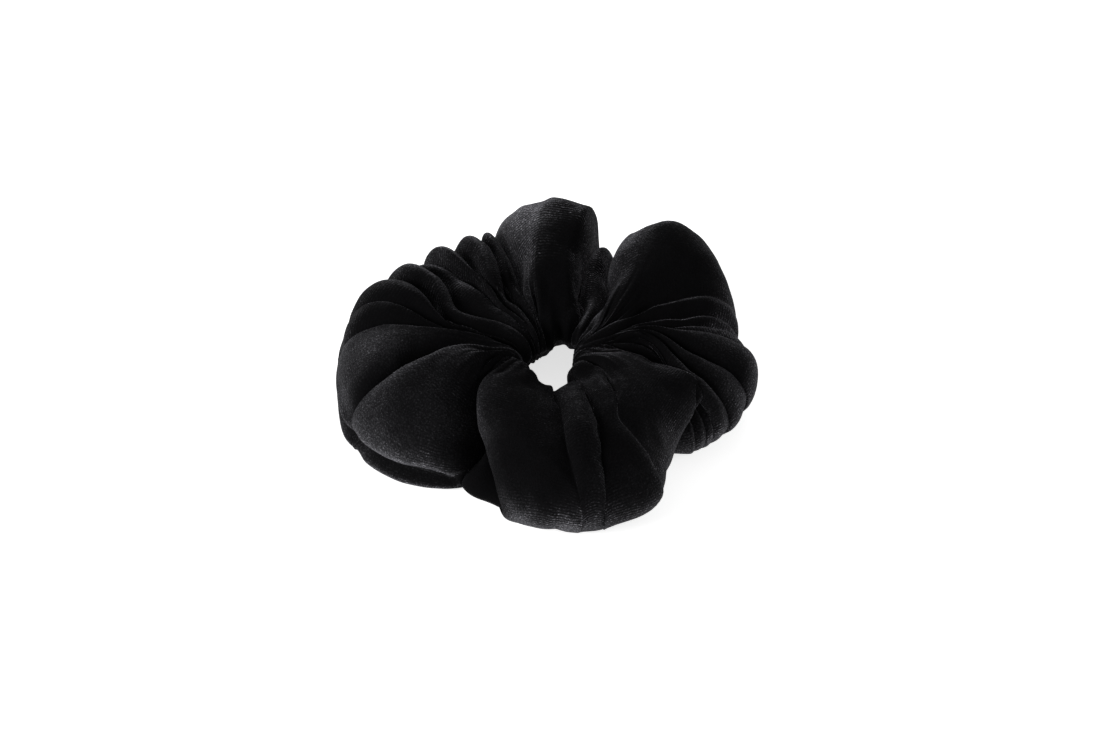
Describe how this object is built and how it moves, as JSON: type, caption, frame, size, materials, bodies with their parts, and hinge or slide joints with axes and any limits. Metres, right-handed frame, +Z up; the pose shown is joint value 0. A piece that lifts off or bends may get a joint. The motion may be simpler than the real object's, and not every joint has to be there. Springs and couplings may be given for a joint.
{
  "type": "scrunchie",
  "caption": "Puffy gathered velvet ring over a band of elastic that grips a ponytail or wrist; the ring pulls open along its width.",
  "frame": {"origin": "on the axis of the hole, at the height of the table that the scrunchie lies on", "axes": "+Z up along the axis of the hole; +X to the right, the way the ring is pulled open; -Y towards the front puff"},
  "size_m": [0.1095, 0.1102, 0.0302],
  "materials": {
    "velvet": "matte",
    "woven_elastic": "matte",
    "sewing_thread": "satin"
  },
  "bodies": {
    "left_half": {"velvet_cover_left": "velvet", "elastic_left": "woven_elastic", "elastic_join_thread": "sewing_thread", "tube_seam_thread_left": "sewing_thread"},
    "right_half": {"velvet_cover_right": "velvet", "elastic_right": "woven_elastic", "tube_seam_thread_right": "sewing_thread", "closing_seam_thread": "sewing_thread"}
  },
  "joints": [
    {"name": "stretch", "type": "slide", "parent": "left_half", "child": "right_half", "axis": [1, 0, 0], "range_m": [0, 0.08], "stiffness_N_per_m": 60}
  ]
}
